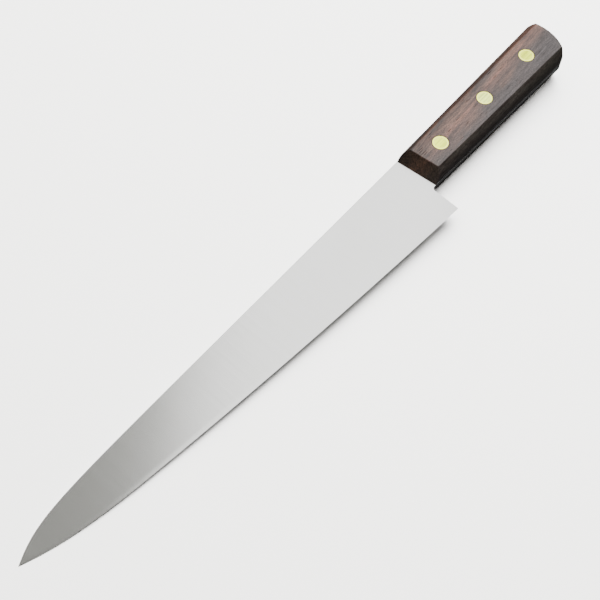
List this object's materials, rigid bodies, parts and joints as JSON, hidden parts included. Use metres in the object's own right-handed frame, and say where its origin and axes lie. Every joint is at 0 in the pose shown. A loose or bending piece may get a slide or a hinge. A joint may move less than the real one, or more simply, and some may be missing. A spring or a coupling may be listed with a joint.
{
  "type": "sujihiki knife",
  "caption": "Long, slim slicing knife with a full tang, faceted wooden scales and flush brass rivets.",
  "frame": {"origin": "centre of the knife's box in plan, at the level of the right side's flat faces", "axes": "+X from the tip to the butt, +Y from the edge to the spine, +Z out of the left side"},
  "size_m": [0.3506, 0.0382, 0.016],
  "materials": {
    "steel": "fine satin, ground across the blade",
    "rosewood": "smooth, oiled, with open pores along the handle",
    "brass": "ground flush with the wood, satin"
  },
  "bodies": {
    "root": {"blade": "steel", "left_scale": "rosewood", "right_scale": "rosewood", "front_rivet_socket": "brass", "front_rivet_pin": "brass", "middle_rivet_socket": "brass", "middle_rivet_pin": "brass", "rear_rivet_socket": "brass", "rear_rivet_pin": "brass"}
  },
  "joints": []
}
